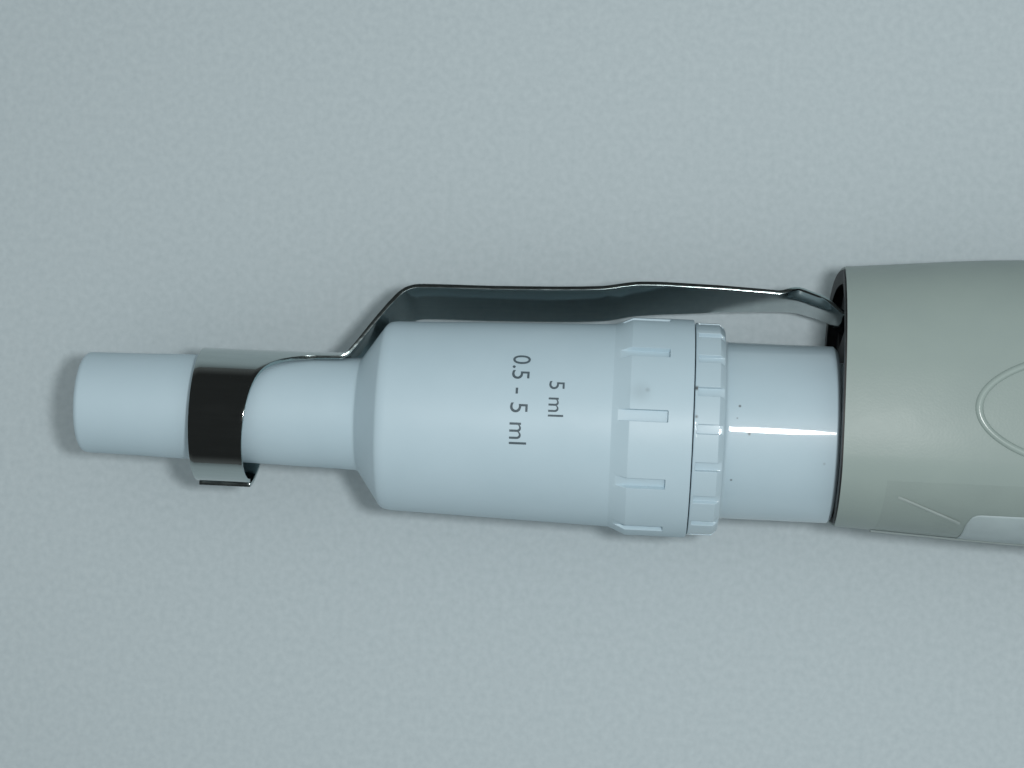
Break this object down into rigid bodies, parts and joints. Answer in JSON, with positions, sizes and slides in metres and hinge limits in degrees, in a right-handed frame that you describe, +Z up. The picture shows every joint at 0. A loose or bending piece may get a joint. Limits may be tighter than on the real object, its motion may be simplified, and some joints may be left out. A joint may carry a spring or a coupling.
{
  "type": "electronic pipette",
  "caption": "Electronic pipette on its side: white liquid end, polished steel tip ejector arm, hollow grey handle with stepper drive, trigger, finger hook, display and keys.",
  "frame": {"origin": "under the middle of the pipette's box, on the surface it lies on", "axes": "+X from the nozzle to the head, +Y from the finger hook at the back to the display at the front, +Z up from the right side to the left"},
  "size_m": [0.285, 0.0722, 0.0353],
  "materials": {
    "white_plastic": "satin moulded blue-white plastic of the liquid end",
    "grey_plastic": "fine matt moulded grey plastic of the handle",
    "control_plastic": "satin moulded plastic of the keys, trigger and thumb button",
    "black_plastic": "glass-filled black plastic of the inner frame",
    "dark_grey_plastic": "dark grey moulded bezel",
    "polished_steel": "polished stainless strip",
    "zinc_steel": "zinc plated steel",
    "ptfe": "turned PTFE",
    "rubber": "black rubber",
    "circuit_board": "green solder mask",
    "display_window": "polished tinted window",
    "display_glass": "display module",
    "battery_sleeve": "shrink sleeve",
    "gold_contact": "gold plated contact",
    "bronze": "sintered bronze bush"
  },
  "bodies": {
    "handle": {"lower_barrel": "white_plastic", "upper_coupling": "white_plastic", "piston_seal": "ptfe", "piston_o_ring": "rubber", "seal_retainer": "polished_steel", "guide_rod_1": "polished_steel", "guide_rod_2": "polished_steel", "nose_plate": "black_plastic", "motor_plate": "zinc_steel", "motor_can": "zinc_steel", "motor_end_bell": "zinc_steel", "motor_bush_1": "bronze", "motor_bush_2": "bronze", "motor_screw_1": "zinc_steel", "motor_screw_2": "zinc_steel", "main_board": "circuit_board", "battery_cell": "battery_sleeve", "battery_contact_1": "zinc_steel", "battery_contact_2": "zinc_steel", "trigger_switch": "black_plastic", "ejector_guide": "dark_grey_plastic", "ejector_spring": "zinc_steel", "head_bezel": "dark_grey_plastic", "display_window": "display_window", "display_module": "display_glass", "key_board": "circuit_board", "joystick_base": "black_plastic", "trigger_pin": "polished_steel", "finger_hook": "grey_plastic", "left_shell": "grey_plastic", "right_shell": "grey_plastic", "shell_screw_1": "zinc_steel", "shell_screw_2": "zinc_steel", "shell_screw_3": "zinc_steel", "shell_screw_4": "zinc_steel", "charge_contact_1": "gold_contact", "charge_contact_2": "gold_contact"},
    "ejector": {"ejector_arm": "polished_steel", "ejector_rod": "black_plastic", "arm_screw_1": "zinc_steel", "arm_screw_2": "zinc_steel", "ejector_button": "control_plastic"},
    "rotor": {"rotor_nut": "black_plastic"},
    "piston": {"piston": "ptfe", "piston_rod": "polished_steel", "guide_block": "black_plastic", "lead_screw": "zinc_steel"},
    "trigger": {"trigger": "control_plastic"},
    "gimbal": {"joystick_gimbal": "zinc_steel"},
    "joystick": {"joystick_cap": "rubber"},
    "left_key": {"left_soft_key": "control_plastic"},
    "right_key": {"right_soft_key": "control_plastic"}
  },
  "joints": [
    {"name": "ejector_slide", "type": "slide", "parent": "handle", "child": "ejector", "axis": [-1, 0, 0], "range_m": [0, 0.01], "stiffness_N_per_m": 400, "springref_m": -0.006, "deforming": ["ejector_spring"]},
    {"name": "rotor_spin", "type": "hinge", "parent": "handle", "child": "rotor", "pos_m": [0.0249, 0.00555, 0.0175], "axis": [1, 0, 0], "range_deg": [0, 3600]},
    {"name": "piston_slide", "type": "slide", "parent": "handle", "child": "piston", "axis": [1, 0, 0], "range_m": [0, 0.02]},
    {"name": "trigger_press", "type": "hinge", "parent": "handle", "child": "trigger", "pos_m": [0.07105, -0.00565, 0.0175], "axis": [0, 0, -1], "range_deg": [0, 7], "stiffness_Nm_per_rad": 0.2, "springref_deg": -8.59},
    {"name": "joystick_rock", "type": "hinge", "parent": "handle", "child": "gimbal", "pos_m": [0.09464, 0.02075, 0.0175], "axis": [0, 0, 1], "range_deg": [-8, 8], "stiffness_Nm_per_rad": 0.05},
    {"name": "joystick_tilt", "type": "hinge", "parent": "gimbal", "child": "joystick", "pos_m": [0.09464, 0.02075, 0.0175], "axis": [0.9903, -0.1392, 0], "range_deg": [-8, 8], "stiffness_Nm_per_rad": 0.05},
    {"name": "left_key_press", "type": "slide", "parent": "handle", "child": "left_key", "axis": [-0.1392, -0.9903, 0], "range_m": [0, 0.0006], "stiffness_N_per_m": 400, "springref_m": -0.001},
    {"name": "right_key_press", "type": "slide", "parent": "handle", "child": "right_key", "axis": [-0.1392, -0.9903, 0], "range_m": [0, 0.0006], "stiffness_N_per_m": 400, "springref_m": -0.001}
  ],
  "couplings": [
    {"joint": "rotor_spin", "follows": "piston_slide", "rad_per_m": 3141.6}
  ]
}
